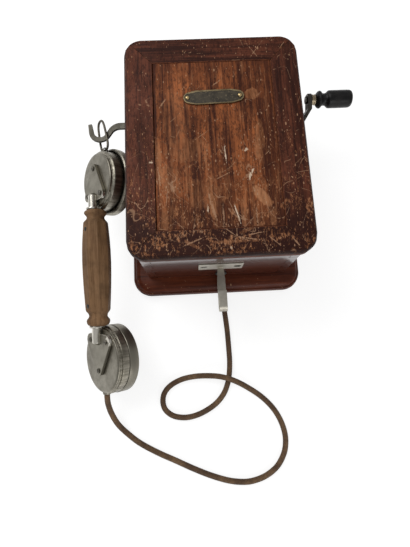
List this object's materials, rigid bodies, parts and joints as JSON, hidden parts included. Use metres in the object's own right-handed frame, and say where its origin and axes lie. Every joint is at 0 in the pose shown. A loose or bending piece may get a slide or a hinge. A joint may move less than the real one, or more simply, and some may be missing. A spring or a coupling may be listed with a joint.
{
  "type": "crank wall telephone",
  "caption": "Wooden wall telephone with a panelled door, crank magneto, ringer, switch hook and a corded handset with a turned wooden grip, lying on its back.",
  "frame": {"origin": "centre of the back board's rear face, which lies on the table", "axes": "+X to the crank, +Y to the telephone's top, +Z out of the door"},
  "size_m": [0.2701, 0.403, 0.1201],
  "materials": {
    "varnished_wood": "worn dark red-brown varnish",
    "grip_wood": "worn bare brown wood",
    "nickel": "dull nickel plate",
    "cup_metal": "dull grey metal",
    "steel": "dark worn steel",
    "brass": "dull brass",
    "iron": "dark iron",
    "ebonite": "black moulded",
    "dark_plate": "dark enamelled plate",
    "magnet_red": "dull red paint",
    "green_cotton": "cotton-covered winding",
    "cord_cotton": "braided brown cotton"
  },
  "bodies": {
    "case": {"back_board": "varnished_wood", "case_wall_left": "varnished_wood", "case_wall_right": "varnished_wood", "case_wall_top": "varnished_wood", "case_wall_bottom": "varnished_wood", "crank_bush": "nickel", "condenser": "nickel", "side_hook": "nickel", "ringer_frame": "steel", "hinge_leaf_case_upper": "brass", "hinge_leaf_case_lower": "brass", "door_catch_clip": "brass", "hook_bracket": "brass", "contact_spring_1": "brass", "contact_spring_2": "brass", "magneto_plate_left": "brass", "magneto_plate_right": "brass", "gong_left": "brass", "gong_right": "brass", "magneto_pole_piece_lower": "iron", "magneto_pole_piece_upper": "iron", "induction_coil_core": "iron", "contact_block": "ebonite", "terminal_strip": "ebonite", "cord_bush_case": "ebonite", "magneto_magnet_1": "magnet_red", "magneto_magnet_2": "magnet_red", "ringer_coil_left": "green_cotton", "ringer_coil_right": "green_cotton", "induction_coil": "green_cotton", "handset_cord": "cord_cotton"},
    "door": {"door_stile_left": "varnished_wood", "door_stile_right": "varnished_wood", "door_rail_top": "varnished_wood", "door_rail_bottom": "varnished_wood", "door_panel": "varnished_wood", "name_plate": "dark_plate", "name_plate_pin_left": "brass", "name_plate_pin_right": "brass", "hinge_leaf_door_upper": "brass", "hinge_leaf_door_lower": "brass", "door_catch_tongue": "brass"},
    "switch_hook": {"hook_lever": "nickel"},
    "crank": {"crank_shaft": "steel", "crank_arm": "steel", "crank_ferrule": "nickel", "knob_spindle": "steel", "drive_gear": "brass"},
    "knob": {"crank_knob": "ebonite"},
    "armature": {"magneto_armature": "iron", "magneto_pinion": "steel"},
    "clapper": {"ringer_armature": "iron"},
    "handset": {"handset_grip": "grip_wood", "neck_upper": "nickel", "neck_lower": "nickel", "ear_case": "cup_metal", "ear_cap": "cup_metal", "mic_case": "cup_metal", "mic_cap": "cup_metal"},
    "bail": {"handset_bail": "steel"}
  },
  "joints": [
    {"name": "door_hinge", "type": "hinge", "parent": "case", "child": "door", "pos_m": [-0.0718, 0, 0.1045], "axis": [0, -1, 0], "range_deg": [0, 105]},
    {"name": "hook_pivot", "type": "hinge", "parent": "case", "child": "switch_hook", "pos_m": [-0.042, 0.0463, 0.0695], "axis": [0, 0, 1], "range_deg": [0, 3], "stiffness_Nm_per_rad": 0.3},
    {"name": "crank_spin", "type": "hinge", "parent": "case", "child": "crank", "pos_m": [0.075, 0.024, 0.053], "axis": [1, 0, 0], "continuous": true},
    {"name": "knob_spin", "type": "hinge", "parent": "crank", "child": "knob", "pos_m": [0.1029, 0.067, 0.07], "axis": [1, 0, 0], "continuous": true},
    {"name": "armature_spin", "type": "hinge", "parent": "case", "child": "armature", "pos_m": [0.044, 0.05219, 0.04274], "axis": [1, 0, 0], "continuous": true},
    {"name": "clapper_swing", "type": "hinge", "parent": "case", "child": "clapper", "pos_m": [0, -0.0443, 0.032], "axis": [0, 0, 1], "range_deg": [-4, 4]},
    {"name": "handset_lift", "type": "slide", "parent": "case", "child": "handset", "axis": [-0.9605, 0.2201, 0.1701], "range_m": [0, 0.05]},
    {"name": "bail_swing", "type": "hinge", "parent": "handset", "child": "bail", "pos_m": [-0.10133, 0.02184, 0.06936], "axis": [0.6723, -0.1503, 0.7249], "range_deg": [0, 8]}
  ],
  "couplings": [
    {"joint": "armature_spin", "follows": "crank_spin", "ratio": -5}
  ]
}
